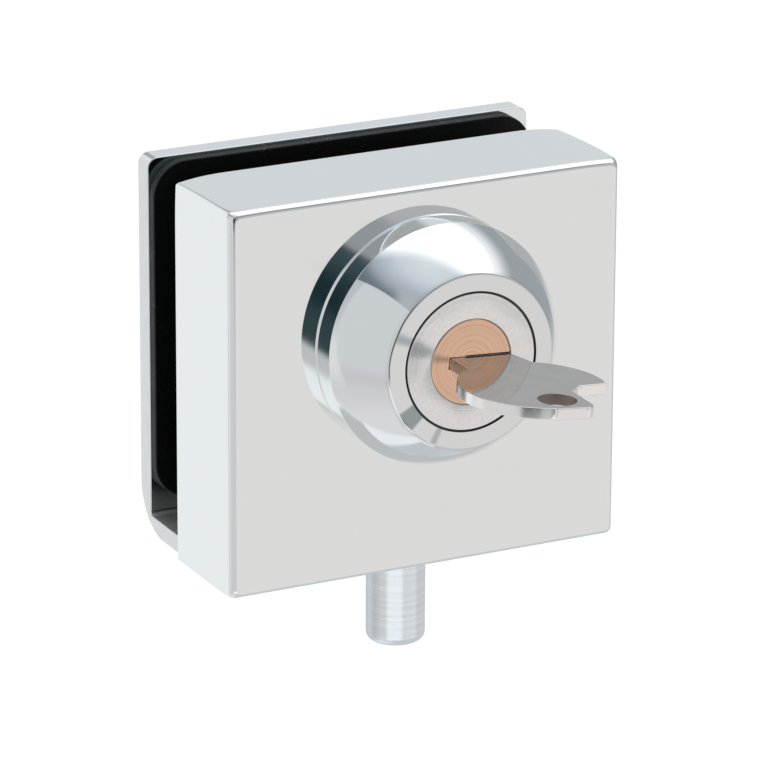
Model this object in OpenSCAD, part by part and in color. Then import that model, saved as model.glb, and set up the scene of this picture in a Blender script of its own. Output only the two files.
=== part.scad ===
// Cylinder lock that clamps on the edge of a glass door. A bent plate reaches round the glass, a thin
// polished cover hides the lock case, and turning the key lifts or drops a round bolt by rack and pinion.
// Origin: middle of the glass-side face of the front pad, at half the cover's height.
// +Y runs from the front pad through the glass to the rear leg, -Y is the key side, +Z is up.
// The bolt is shown thrown, with the key in.

/* [Cover] */
// Width of the cover
cover_w = 58.5; // [56:0.5:64]
// Height of the cover
cover_h = 54.5; // [54:0.5:60]
// Depth of the cover, front face to rear edge
cover_d = 17.4; // [17.2:0.1:19]
// Sheet thickness of the cover
cover_wall = 0.8; // [0.6:0.1:1]
// Rounding of the front edges
cover_front_r = 1; // [0.8:0.1:1.6]
// Rounding of the edges that run front to back
cover_side_r = 0.5; // [0.3:0.1:0.8]

/* [Glass clamp] */
// Clear gap for the glass between the two pads
glass_gap = 6; // [5:0.5:8]
// Thickness of each rubber pad
pad_t = 1.6; // [1.2:0.1:2]
// Corner radius of the pads
pad_r = 5; // [3:0.5:7]
// How far the pads stay inside the top edge of what carries them
pad_inset = 0.4; // [0.2:0.1:1]
// Thickness of the rear leg
plate_t = 3.2; // [2.8:0.1:3.5]
// Thickness of the web under the case
web_t = 2.5; // [2:0.1:3]
// How far the bent plate's edges stand inside the cover's sides
plate_inset = 0.25; // [0:0.05:0.6]
// Outside radius of the bend
bend_r = 7; // [6:0.5:9]
// Inside radius of the bend
bend_in_r = 0.8; // [0.4:0.1:2]
// How far the rear leg stands above the cover
leg_rise = 0.3; // [0:0.1:2]
// Corner radius at the top of the rear leg
leg_corner_r = 1.5; // [1:0.1:4]
// Size of the clamping grub screws
grub_d = 5; // [4:1:6]
// Distance between the two grub screws
grub_pitch = 28; // [20:1:36]

/* [Lock case] */
// Gap between the case and the inside of the cover
case_gap = 0.25; // [0.2:0.05:0.4]
// Thickness of the case's front plate
case_front_t = 1.6; // [1.4:0.1:1.8]
// Thickness of the case's side walls
case_wall = 2; // [1.6:0.1:2.2]
// Thickness of the plate that closes the case
back_plate_t = 1.6; // [1.4:0.1:2]
// Width of the block that guides the bolt
guide_w = 16; // [13:0.5:20]

/* [Collar] */
// Sideways place of the lock axis
axis_x = -2; // [-3:0.1:0]
// Height of the lock axis below the top of the cover
axis_drop = 19.5; // [19.25:0.05:19.75]
// Diameter of the collar and of its spacer ring
collar_d = 33.7; // [33.4:0.1:38]
// Thickness of the spacer ring
spacer_t = 4.5; // [4:0.1:5.5]
// Straight part of the collar's side
collar_side = 3.8; // [3:0.1:4.5]
// Height of the collar's face above the cover
collar_h = 16.5; // [16:0.1:18]
// Diameter of the collar's flat face
collar_face_d = 24.2; // [23:0.1:26]
// How far the collar's flank bulges beyond a plain cone
collar_bulge = 0.45; // [0.1:0.05:0.8]
// Chamfer of the joint line and of the bore's mouth
collar_chamfer = 0.35; // [0.2:0.05:0.5]
// Rounding of the collar's shoulder
shoulder_r = 1; // [0.5:0.1:1.5]
// Rounding of the edge of the collar's face
face_edge_r = 0.4; // [0.2:0.05:0.5]

/* [Cylinder] */
// Diameter of the barrel
barrel_d = 19.1; // [18.8:0.1:19.4]
// Diameter of the plug
plug_d = 11.9; // [11.6:0.1:12.2]
// Clockwise turn of the whole cylinder in its hole, seen from the front
barrel_clock = 3.7; // [0:0.1:6]
// Diameter of the tumbler pins
pin_d = 2.1; // [1.9:0.1:2.2]
// Distance from one tumbler pin to the next
pin_pitch = 2.75; // [2.5:0.05:2.8]
// Reach of the pin chamber from the lock axis
chamber_reach = 11.9; // [11.6:0.1:12.3]
// Width of the pin chamber
chamber_w = 5.4; // [4.6:0.1:6]

/* [Key] */
// Thickness of the key
key_t = 1.55; // [1.4:0.05:1.7]
// Blade edge on the side of the cuts, from the lock axis
blade_cut_side = 3.2; // [3:0.05:3.4]
// Plain blade edge, from the lock axis
blade_back_side = 5.2; // [4.8:0.05:5.3]
// Depth of the first cut
first_cut = 0.6; // [0.4:0.05:0.8]
// Added depth from one cut to the next
cut_step = 0.4; // [0.2:0.05:0.45]
// Radius of the round bow
bow_r = 10; // [9:0.25:12]
// Diameter of the hole for a key ring
ring_hole_d = 5; // [4:0.25:6]

/* [Bolt] */
// Diameter of the bolt
bolt_d = 8.2; // [7.6:0.1:8.4]
// Length of the thrown bolt below the cover
bolt_out = 13.5; // [13.5:0.1:15]
// Distance of the bolt's axis behind the front face
bolt_depth = 9.1; // [9.1:0.05:9.4]
// Rounding of the bolt's end
bolt_end_r = 1.2; // [0.5:0.1:2]
// Thickness of the carriage's foot on the bolt
foot_t = 3.5; // [3:0.1:4.5]
// Gear module of the rack and pinion
gear_module = 0.72; // [0.68:0.01:0.72]
// Width of the rack and pinion
gear_w = 4.6; // [4:0.1:4.8]

/* [Hidden] */
PINS = 5;
$fn = 96;

// Overlap of cutting tools past the faces they cut
over = 1;
// Clearances: turning and sliding fits, screw shanks, holes that only let a piece through, the collar's
// bore round the barrel, and the keyway round the blade
fit_gap = 0.05;
shank_gap = 0.02;
hole_gap = 0.2;
bore_gap = 0.12;
slot_gap = 0.1;
// How far the ends of the tumbler pins stand from the shear line
shear_gap = 0.1;
// Gap that keeps a moving face off its stop
stop_gap = 0.2;

// Planes across Y, front to rear
y_seat = -pad_t;
y_front = y_seat - cover_d;
y_inside = y_front + cover_wall;
y_case_in = y_inside + case_front_t;
y_plate = y_seat - back_plate_t;
y_joint = y_front - spacer_t;
y_face = y_front - collar_h;
y_bolt = y_front + bolt_depth;
y_leg = glass_gap + pad_t;

// Planes across Z, and half widths
axis_z = cover_h / 2 - axis_drop;
plate_w = cover_w - 2 * plate_inset;
z_under = -cover_h / 2 + cover_wall + fit_gap;
z_web = z_under + web_t;
case_x = cover_w / 2 - cover_wall - case_gap;
case_top = cover_h / 2 - cover_wall - case_gap;
leg_top = cover_h / 2 + leg_rise;
pad_side = 0.1;
pad_rise = 1.9;

// Front to rear lengths and diameters in the cylinder
face_chamfer = 0.2;
nut_t = 2.2;
nut_ring = 1.45;
nut_relief = 0.15;
nut_d = barrel_d + 2 * nut_ring;
y_nut = y_case_in + nut_t;
y_barrel_end = y_nut + nut_relief;
clip_t = 0.6;
clip_d = 14;
clip_mouth = 5;
neck_d = 7.2;
journal_d = 9;
tail_d = 5;
tail_flats = 4;
y_clip = y_barrel_end + fit_gap;
y_tail = y_bolt - gear_w / 2 - 2 * fit_gap;
slot_end_wall = 2.6;
blade_end_gap = 0.4;
y_slot_end = y_barrel_end - slot_end_wall;
blade_l = y_slot_end - blade_end_gap - y_face;
chamber_end_wall = 0.6;
y_chamber_1 = y_inside - 2 * fit_gap;
y_chamber_0 = y_chamber_1 - (PINS - 1) * pin_pitch - pin_d - 2 * chamber_end_wall;

// Rack and pinion: twelve teeth and a half turn give the whole stroke
teeth = 12;
pressure = 25;
backlash = 0.08;
pitch_r = gear_module * teeth / 2;
tip_r = pitch_r + gear_module;
root_r = pitch_r - 1.25 * gear_module;
tooth_pitch = PI * gear_module;
stroke = PI * pitch_r;
x_pitch = axis_x + pitch_r;
rack_depth = 6.2;
rack_x = x_pitch + rack_depth;
rail_grip = 0.8;
rail_t = 3;
z_foot_top = axis_z - tip_r - stroke - stop_gap;
z_foot = z_foot_top - foot_t;
z_guide = z_foot - stop_gap;
z_rack_top = case_top - case_wall - stroke - stop_gap;
z_bolt_end = -cover_h / 2 - bolt_out;
tang_l = 5;
tang_wall = 1.3;
tang_w = bolt_d - 2 * tang_wall;
foot_end = 1;
cross_pin_d = 2;
cross_pin_in = 0.35;

// Screws: diameter of the shank and of the head, and how far they stand in from what they hold
collar_screw = [2.5, 4.6];
web_screw = [4, 7.6];
plate_screw = [3, 5.6];
pinion_screw = [2.5, 5];
pinion_head_h = 1.4;
screw_slot_w = 0.7;
collar_screw_edge = 2.85;
collar_screw_r = collar_d / 2 - collar_screw_edge;
collar_screw_in = 4.5;
web_screw_edge = 9.2;
web_screw_x = case_x - web_screw_edge;
web_screw_l = 8;
web_boss_d = 8.6;
plate_screw_l = 8;
// Depth of a screw's hole past its tip, and the metal that closes a boss above it
tip_room = 0.5;
boss_end = 0.7;

// Corner posts of the case, let into its walls
post_d = 7;
post_sink = 0.3;
post_x = case_x - case_wall - post_d / 2 + post_sink;
post_top_z = case_top - case_wall - post_d / 2 + post_sink;
post_rise = 10.9;
post_low_z = z_web + post_rise;

// Corner radii of the case, outside and inside
case_r = 0.6;
case_in_r = 1;

// 2D rectangle centred on X and Y with four round corners
module rounded_rect(w, h, r) {
    square([w - 2 * r, h], center = true);
    square([w, h - 2 * r], center = true);
    for (x = [-1, 1], y = [-1, 1]) translate([x * (w / 2 - r), y * (h / 2 - r)]) circle(r = r);
}

// 2D rectangle that starts at Y = 0 with its two corners there rounded
module front_rounded(w, d, r) {
    translate([-w / 2, r]) square([w, d - r]);
    translate([-w / 2 + r, 0]) square([w - 2 * r, d - r]);
    for (x = [-1, 1]) translate([x * (w / 2 - r), r]) circle(r = r);
}

// Extrudes an X-Z profile from one Y plane to another
module along_y(y0, y1) {
    translate([0, y1, 0]) rotate([90, 0, 0]) linear_extrude(y1 - y0) children();
}

// Cylinder along Y between two planes, at x and z
module rod_y(x, z, y0, y1, d) {
    translate([x, y0, z]) rotate([-90, 0, 0]) cylinder(d = d, h = y1 - y0);
}

// Rod with a chamfer round its front end
module faced_rod_y(y0, y1, d) {
    rod_y(0, 0, y0 + face_chamfer, y1, d);
    translate([0, y0, 0]) rotate([-90, 0, 0])
        cylinder(d1 = d - 2 * face_chamfer, d2 = d, h = face_chamfer);
}

// Moves to the lock axis and turns with the cylinder: X across the plug, Z normal to the key
module on_axis() {
    translate([axis_x, 0, axis_z]) rotate([0, barrel_clock, 0]) children();
}

// Block between two corners
module block(a, b) {
    translate(a) cube(b - a);
}

// Countersunk screw along +Z with its flat head at z = 0 and a hexagon socket in it
module flat_screw(size, l) {
    head_h = (size[1] - size[0]) / 2;
    socket = size[0] * 0.62;
    difference() {
        union() {
            cylinder(d1 = size[1], d2 = size[0], h = head_h);
            cylinder(d = size[0], h = l);
        }
        translate([0, 0, -over]) cylinder(d = socket / cos(30), h = over + head_h * 0.7, $fn = 6);
    }
}

// Hole that takes flat_screw, with the head's seat opened by the same gap
module flat_screw_hole(size, l, gap) {
    head_h = (size[1] - size[0]) / 2;
    cylinder(d1 = size[1] + 2 * gap, d2 = size[0] + 2 * gap, h = head_h);
    translate([0, 0, -over]) cylinder(d = size[1] + 2 * gap, h = over);
    cylinder(d = size[0] + 2 * gap, h = l);
}

// Places children at each collar screw, pointing to the front
module at_collar_screws(y) {
    for (side = [-1, 1])
        translate([axis_x, y, axis_z + side * collar_screw_r]) rotate([90, 0, 0]) children();
}

// Places children at each corner post of the case, pointing to the front
module at_posts(y) {
    for (side = [-1, 1], z = [post_low_z, post_top_z])
        translate([side * post_x, y, z]) rotate([90, 0, 0]) children();
}

// Places children under each web screw, pointing up
module at_web_screws() {
    for (side = [-1, 1]) translate([side * web_screw_x, y_bolt, z_under]) children();
}

// Outline of the pin chamber beside the barrel, in the cylinder's own X and Z
module chamber_outline(gap) {
    translate([-chamber_reach - gap, -chamber_w / 2 - gap])
        square([chamber_reach - barrel_d / 4 + gap, chamber_w + 2 * gap]);
}

// Y of each tumbler, counted from the key's shoulder inwards
function pin_y(i) = y_chamber_0 + chamber_end_wall + pin_d / 2 + (i - 1) * pin_pitch;

// Distance of each cut's floor from the lock axis
function cut_floor(i) = blade_cut_side - first_cut - (i - 1) * cut_step;

// Bent plate: web under the case, one bend, rear leg behind the glass
module bent_plate() color("gainsboro") difference() {
    intersection() {
        rotate([90, 0, 90]) linear_extrude(plate_w, center = true) bent_profile();
        along_y(y_inside, y_leg + plate_t + over) leg_outline();
    }
    // The web is narrower where it lies inside the cover
    for (side = [-1, 1])
        translate([side * plate_w / 2, (y_inside + y_seat) / 2 - over, z_under + web_t / 2])
            cube([2 * (plate_w / 2 - case_x), y_seat - y_inside + 2 * over + 2 * hole_gap, web_t + over],
                 center = true);
    translate([0, y_bolt, z_under - over]) cylinder(d = bolt_d + 4 * hole_gap, h = web_t + 2 * over);
    at_web_screws() flat_screw_hole(web_screw, web_t + over, shank_gap);
    for (side = [-1, 1])
        rod_y(side * grub_pitch / 2, 0, y_leg - over, y_leg + plate_t + over, grub_d + 2 * shank_gap);
}

// Section of the bent plate in Y and Z: thinner web, round outside, and a small radius in the corner
module bent_profile() {
    y_in = y_inside + hole_gap;
    y_out = y_leg + plate_t;
    difference() {
        translate([y_in, z_under]) square([y_out - y_in, web_t]);
        corner_waste(y_out, z_under, bend_r);
    }
    difference() {
        translate([y_leg, z_under]) square([plate_t, leg_top - z_under]);
        corner_waste(y_out, z_under, bend_r);
    }
    corner_waste(y_leg, z_web, bend_in_r);
}

// What a radius leaves outside it in a corner that opens up and to the left
module corner_waste(y, z, r) {
    difference() {
        translate([y - r, z - over]) square([r + over, r + over]);
        translate([y - r, z + r]) circle(r = r);
    }
}

// Front view of the bent plate, with the rear leg's round top corners
module leg_outline() {
    h = leg_top - z_under;
    translate([0, z_under + h / 2]) {
        square([plate_w - 2 * leg_corner_r, h], center = true);
        translate([0, -leg_corner_r / 2]) square([plate_w, h - leg_corner_r], center = true);
        for (side = [-1, 1])
            translate([side * (plate_w / 2 - leg_corner_r), h / 2 - leg_corner_r]) circle(r = leg_corner_r);
    }
}

// Rubber pad on the rear leg
module rear_pad() color([0.06, 0.06, 0.07]) {
    top = leg_top - pad_inset;
    bottom = z_web + bend_in_r + pad_rise;
    along_y(glass_gap, y_leg) translate([0, (top + bottom) / 2])
        rounded_rect(plate_w - 2 * pad_side, top - bottom, pad_r);
}

// Rubber pad on the back plate of the case
module front_pad() color([0.06, 0.06, 0.07]) {
    top = case_top;
    bottom = z_web + pad_inset;
    along_y(y_seat, 0) translate([0, (top + bottom) / 2])
        rounded_rect(2 * (case_x - pad_side), top - bottom, pad_r);
}

// Two socket grub screws that press the rear pad on the glass
module grub_screws() color("dimgray") {
    socket = grub_d / 2;
    socket_depth = grub_d * 0.4;
    for (side = [-1, 1]) difference() {
        rod_y(side * grub_pitch / 2, 0, y_leg, y_leg + plate_t, grub_d);
        translate([side * grub_pitch / 2, y_leg + plate_t - socket_depth, 0]) rotate([-90, 0, 0])
            cylinder(d = socket / cos(30), h = socket_depth + over, $fn = 6);
    }
}

// Thin cover: a five-sided shell with its open side to the glass
module cover() color("gainsboro") difference() {
    intersection() {
        translate([0, y_front, 0]) linear_extrude(cover_h, center = true)
            front_rounded(cover_w, cover_d, cover_front_r);
        translate([0, y_front, 0]) rotate([0, -90, 0]) linear_extrude(cover_w, center = true)
            front_rounded(cover_h, cover_d, cover_front_r);
        along_y(y_front, y_seat) rounded_rect(cover_w, cover_h, cover_side_r);
    }
    block([-cover_w / 2 + cover_wall, y_inside, -cover_h / 2 + cover_wall],
          [cover_w / 2 - cover_wall, y_seat + over, cover_h / 2 - cover_wall]);
    rod_y(axis_x, axis_z, y_front - over, y_inside + over, barrel_d + 2 * hole_gap);
    on_axis() along_y(y_front - over, y_inside + over) chamber_outline(hole_gap);
    at_collar_screws(y_inside + over) cylinder(d = collar_screw[0] + hole_gap, h = cover_wall + 2 * over);
    translate([0, y_bolt, -cover_h / 2 - over])
        cylinder(d = bolt_d + 4 * hole_gap, h = cover_wall + 2 * over);
}

// Die-cast case: a tray open to the rear, with the bolt's guide, the rack's rail, posts and bosses
module lock_case() color("darkgray") difference() {
    union() {
        difference() {
            along_y(y_inside, y_plate) translate([0, (case_top + z_web) / 2])
                rounded_rect(2 * case_x, case_top - z_web, case_r);
            along_y(y_case_in, y_plate + over) translate([0, (case_top + z_web) / 2])
                rounded_rect(2 * (case_x - case_wall), case_top - z_web - 2 * case_wall, case_in_r);
        }
        block([-guide_w / 2, y_case_in - over, z_web + case_wall - over], [guide_w / 2, y_plate, z_guide]);
        block([rack_x - rail_grip, y_case_in - over, z_guide - over],
              [rack_x + rail_t, y_plate, case_top - case_wall + over]);
        at_posts(y_plate) cylinder(d = post_d, h = y_plate - y_case_in + over);
        for (side = [-1, 1]) translate([side * web_screw_x, y_bolt, z_web + case_wall - over])
            cylinder(d = web_boss_d, h = web_screw_l - web_t - case_wall + tip_room + boss_end + over);
    }
    rod_y(axis_x, axis_z, y_inside - over, y_case_in + over, barrel_d + 2 * hole_gap);
    rod_y(axis_x, axis_z, y_case_in, y_barrel_end + stop_gap, nut_d + 4 * hole_gap);
    at_collar_screws(y_case_in) flat_screw_hole(collar_screw, case_front_t + over, shank_gap);
    translate([0, y_bolt, z_web - over]) cylinder(d = bolt_d + 2 * fit_gap, h = z_guide - z_web + 2 * over);
    block([rack_x - rail_grip - over, y_bolt - gear_w / 2 - fit_gap, z_guide + fit_gap],
          [rack_x + fit_gap, y_bolt + gear_w / 2 + fit_gap, case_top - case_wall]);
    at_posts(y_plate + over)
        cylinder(d = plate_screw[0] + 2 * shank_gap, h = plate_screw_l - back_plate_t + tip_room + over);
    at_web_screws() cylinder(d = web_screw[0] + 2 * shank_gap, h = web_screw_l + tip_room);
}

// Steel plate that closes the case and carries the front pad
module back_plate() color("silver") difference() {
    along_y(y_plate, y_seat) translate([0, (case_top + z_web) / 2])
        rounded_rect(2 * case_x, case_top - z_web, case_r);
    at_posts(y_seat) flat_screw_hole(plate_screw, back_plate_t + over, shank_gap);
}

// Two countersunk screws that hold the case on the web
module web_screws() color("silver") at_web_screws() flat_screw(web_screw, web_screw_l);

// Four countersunk screws that hold the back plate on the case
module back_plate_screws() color("silver") at_posts(y_seat) flat_screw(plate_screw, plate_screw_l);

// Spacer ring between the cover and the collar
module spacer_ring() color("gainsboro") difference() {
    translate([axis_x, y_front, axis_z]) rotate([90, 0, 0]) rotate_extrude() polygon([
        [barrel_d / 2 + hole_gap, 0],
        [collar_d / 2, 0],
        [collar_d / 2, spacer_t - collar_chamfer],
        [collar_d / 2 - collar_chamfer, spacer_t],
        [barrel_d / 2 + hole_gap, spacer_t]
    ]);
    on_axis() along_y(y_joint - over, y_front + over) chamber_outline(hole_gap);
    at_collar_screws(y_front + over) cylinder(d = collar_screw[0] + hole_gap, h = spacer_t + 2 * over);
}

// Arc that rounds the corner b between its neighbours a and c
function round_corner(a, b, c, r, steps = 4) =
    let (u = (a - b) / norm(a - b), v = (c - b) / norm(c - b), half = acos(u * v) / 2,
         p0 = u * r / tan(half), p1 = v * r / tan(half), o = (u + v) / norm(u + v) * r / sin(half))
    [for (k = [0:steps]) let (q = (p0 - o) * (1 - k / steps) + (p1 - o) * k / steps) b + o + q * r / norm(q)];

// Flank of the collar in half section: from the shoulder to the face, gently bulged
function collar_flank(steps) =
    let (r0 = collar_d / 2, r1 = collar_face_d / 2, h0 = spacer_t + collar_side, h1 = collar_h,
         dir = [h1 - h0, r0 - r1] / norm([h1 - h0, r0 - r1]))
    [for (k = [0:steps])
        let (t = k / steps, bulge = 4 * collar_bulge * t * (1 - t))
        [r0 + (r1 - r0) * t + dir[0] * bulge, h0 + (h1 - h0) * t + dir[1] * bulge]];

// Domed collar that guards the barrel
module collar() color("gainsboro") difference() {
    bore = barrel_d / 2 + bore_gap;
    side = [collar_d / 2, spacer_t + collar_chamfer];
    mouth = [bore + collar_chamfer, collar_h];
    steps = 12;
    flank = collar_flank(steps);
    translate([axis_x, y_front, axis_z]) rotate([90, 0, 0]) rotate_extrude() polygon(concat(
        [[bore, spacer_t], [collar_d / 2 - collar_chamfer, spacer_t], side],
        round_corner(side, flank[0], flank[1], shoulder_r),
        [for (k = [1:steps - 1]) flank[k]],
        round_corner(flank[steps - 1], flank[steps], mouth, face_edge_r),
        [mouth, [bore, collar_h - collar_chamfer]]
    ));
    on_axis() along_y(y_chamber_0 - hole_gap, y_joint + over) chamber_outline(hole_gap);
    at_collar_screws(y_joint + over)
        cylinder(d = collar_screw[0] + 2 * shank_gap, h = collar_screw_in + over);
}

// Two countersunk screws from inside the case that pull the collar on the cover
module collar_screws() color("silver") at_collar_screws(y_case_in)
    flat_screw(collar_screw, case_front_t + cover_wall + spacer_t + collar_screw_in - tip_room);

// Barrel of the cylinder: bored for the plug, with the pin chamber at its side
module barrel() color("silver") difference() {
    on_axis() {
        faced_rod_y(y_face, y_barrel_end, barrel_d);
        along_y(y_chamber_0, y_chamber_1) chamber_outline(0);
    }
    rod_y(axis_x, axis_z, y_face - over, y_barrel_end + over, plug_d + 2 * fit_gap);
    on_axis() strip_form(fit_gap, over);
    for (i = [1:PINS]) at_tumbler(i) cylinder(d = pin_d + 2 * fit_gap, h = chamber_reach + over);
}

// Strip that closes the pin chamber, and the seat cut for it
strip_t = 0.8;
strip_end = 0.3;
strip_edge = 0.5;
module strip_form(gap, out) {
    y0 = pin_y(1) - pin_d / 2 - strip_end;
    y1 = pin_y(PINS) + pin_d / 2 + strip_end;
    block([-chamber_reach - out, y0 - gap, -pin_d / 2 - strip_edge - gap],
          [-chamber_reach + strip_t, y1 + gap, pin_d / 2 + strip_edge + gap]);
}

module chamber_strip() color("goldenrod") on_axis() strip_form(0, 0);

// Round nut with two spanner notches, behind the case's front plate
nut_notch = [0.8, 3];
module ring_nut() color("silver") difference() {
    rod_y(axis_x, axis_z, y_case_in, y_nut, nut_d);
    rod_y(axis_x, axis_z, y_case_in - over, y_nut + over, barrel_d + 2 * shank_gap);
    for (side = [-1, 1])
        translate([axis_x + side * nut_d / 2, (y_case_in + y_nut) / 2, axis_z])
            cube([2 * nut_notch[0], nut_t + over, nut_notch[1]], center = true);
}

// Tail of the plug where the pinion sits: round with two flats
module tail_form(gap) {
    intersection() {
        circle(d = tail_d + 2 * gap);
        square([tail_flats + 2 * gap, tail_d + over], center = true);
    }
}

// Turning plug with keyway, pin holes, clip groove and pinion tail
module plug() color([0.80, 0.62, 0.45]) difference() {
    on_axis() {
        faced_rod_y(y_face, y_barrel_end, plug_d);
        rod_y(0, 0, y_barrel_end - over, y_clip, journal_d);
        rod_y(0, 0, y_clip - over, y_clip + clip_t, neck_d);
        rod_y(0, 0, y_clip + clip_t, y_tail, journal_d);
        along_y(y_tail - over, y_bolt + gear_w / 2 - 2 * fit_gap) tail_form(0);
    }
    on_axis() {
        block([-blade_cut_side - slot_gap, y_face - over, -key_t / 2 - slot_gap],
              [plug_d, y_slot_end, key_t / 2 + slot_gap]);
        rod_y(0, 0, y_tail - over, y_bolt + gear_w, pinion_screw[0] + 2 * shank_gap);
    }
    for (i = [1:PINS]) at_tumbler(i) cylinder(d = pin_d + 2 * fit_gap, h = plug_d);
}

// Snap ring in the groove behind the barrel
module plug_clip() color("dimgray") difference() {
    rod_y(axis_x, axis_z, y_clip, y_clip + clip_t, clip_d);
    rod_y(axis_x, axis_z, y_clip - over, y_clip + clip_t + over, neck_d + 2 * shank_gap);
    translate([axis_x, y_clip + clip_t / 2, axis_z + clip_d / 2])
        cube([clip_mouth, clip_t + over, clip_d], center = true);
}

// Involute flank point at a given radius: angle away from the flank's foot on the base circle
base_r = pitch_r * cos(pressure);
function roll(r) = sqrt(pow(r / base_r, 2) - 1) * 180 / PI;
function involute(r) = roll(r) - atan(roll(r) * PI / 180);
half_tooth = 90 / teeth - backlash / 4 / pitch_r * 180 / PI;
function flank_angle(r) = half_tooth + involute(pitch_r) - involute(max(r, base_r));

// Outline of the pinion: involute flanks, radial below the base circle
module pinion_outline() {
    radii = concat([root_r], [for (k = [0:5]) base_r + (tip_r - base_r) * k / 5]);
    n = len(radii) - 1;
    polygon([for (t = [0:teeth - 1]) each concat(
        [for (k = [0:n]) let (a = t * 360 / teeth - flank_angle(radii[k])) radii[k] * [cos(a), sin(a)]],
        [for (k = [n:-1:0]) let (a = t * 360 / teeth + flank_angle(radii[k])) radii[k] * [cos(a), sin(a)]]
    )]);
}

// Pinion that drives the rack
module pinion() color("goldenrod") translate([axis_x, 0, axis_z])
    along_y(y_bolt - gear_w / 2, y_bolt + gear_w / 2) difference() {
        pinion_outline();
        rotate(-barrel_clock) tail_form(fit_gap);
    }

// Slotted screw that holds the pinion on the tail
module pinion_screw() color("silver") translate([axis_x, y_bolt + gear_w / 2, axis_z]) rotate([90, 0, 0]) {
    translate([0, 0, -pinion_head_h]) difference() {
        cylinder(d = pinion_screw[1], h = pinion_head_h);
        translate([0, 0, -over]) block([-pinion_screw[1], -screw_slot_w / 2, 0],
                                       [pinion_screw[1], screw_slot_w / 2, over + pinion_head_h / 2]);
    }
    translate([0, 0, -fit_gap]) cylinder(d = pinion_screw[0], h = gear_w + fit_gap);
}

// Middle of the bow, with its inner edge a neck's length in front of the plug's face
bow_x = 2.2;
neck_l = 3.2;
y_bow = y_face - neck_l - bow_r;
// Distance of the ring hole's middle from the far end of the bow's disc
hole_in = 3.4;
// Where the neck's plain side meets the bow, and how deep its two sides reach into the disc
neck_x = 4.6;
neck_in = 1.2;
neck_in_cut = 1.6;
// Gap between the key's shoulder and the plug, the flat floor of a cut, and the bevels of the tip
shoulder_gap = 0.12;
cut_land = 1.2;
blade_tip = 1.4;
tip_bevel = 0.4;

// Key: round bow with a notch, blade with cuts that deepen toward the tip
module key() color("lightgray") on_axis() difference() {
    union() {
        key_plate() bow_outline();
        key_plate() blade_outline();
    }
    translate([bow_x, y_bow - bow_r + hole_in, 0]) cylinder(d = ring_hole_d, h = 2 * key_t, center = true);
}

// Lays an X-Y outline flat at the key's thickness
module key_plate() {
    linear_extrude(key_t, center = true) children();
}

// Bow seen from above: a disc with a notch on one side that leaves a tab round the ring hole
module bow_outline() {
    inside_x = bow_x - 2;
    slant = 0.5;
    notch_x = bow_x + 3.65;
    notch_y = y_bow - 2.1;
    notch_r = 2.6;
    tab_r = 1.3;
    tab_y = y_bow - bow_r - 0.6;
    difference() {
        union() {
            translate([bow_x, y_bow]) circle(r = bow_r);
            polygon([
                [inside_x, tab_y + slant],
                [notch_x - tab_r, tab_y],
                [notch_x, tab_y + tab_r],
                [notch_x, notch_y],
                [inside_x, notch_y]
            ]);
            translate([notch_x - tab_r, tab_y + tab_r]) circle(r = tab_r);
        }
        // The notch's inner corner is round
        translate([notch_x + notch_r, notch_y - notch_r]) circle(r = notch_r);
        translate([notch_x + notch_r, notch_y - bow_r]) square([bow_r, bow_r]);
        translate([notch_x, notch_y - bow_r - over]) square([bow_r, bow_r + over - notch_r]);
    }
}

// Blade seen from above: neck, shoulder, cut edge and bevelled tip
module blade_outline() {
    y_tip = y_face + blade_l;
    y_neck = y_bow + bow_r;
    y_shoulder = y_face - shoulder_gap;
    tip_edge = -cut_floor(PINS);
    cuts = [for (i = [1:PINS]) each [
        [-cut_floor(i), pin_y(i) - cut_land / 2],
        [-cut_floor(i), pin_y(i) + cut_land / 2]
    ]];
    polygon(concat(
        [[blade_back_side, y_tip - blade_tip], [blade_back_side, y_shoulder],
         [plug_d / 2 - shear_gap, y_shoulder], [bow_x + neck_x, y_neck - neck_in],
         [bow_x, y_bow], [-blade_cut_side, y_neck - neck_in_cut],
         [-blade_cut_side, pin_y(1) - cut_land / 2 - first_cut]],
        cuts,
        [[tip_edge + tip_bevel, y_tip - tip_bevel], [tip_edge + blade_tip, y_tip],
         [blade_back_side - blade_tip, y_tip]]
    ));
}

// Stands at a tumbler on the lock axis, with Z pointing out through the pin chamber
module at_tumbler(i) {
    on_axis() translate([0, pin_y(i), 0]) rotate([0, -90, 0]) children();
}

// Tumbler pin in the plug: flat at the shear line, pointed where it rides on the key
pin_point = 0.6;
pin_point_d = 0.7;
module key_pin(i) color("goldenrod") at_tumbler(i) {
    foot = cut_floor(i) + fit_gap;
    head = plug_d / 2 - shear_gap;
    translate([0, 0, foot]) cylinder(d1 = pin_point_d, d2 = pin_d, h = pin_point);
    translate([0, 0, foot + pin_point]) cylinder(d = pin_d, h = head - foot - pin_point);
}

// Driver pin between the shear line and its spring
driver_l = 2.5;
driver_foot = plug_d / 2 + shear_gap;
module driver_pin(i) color("silver") at_tumbler(i)
    translate([0, 0, driver_foot]) cylinder(d = pin_d, h = driver_l);

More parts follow.
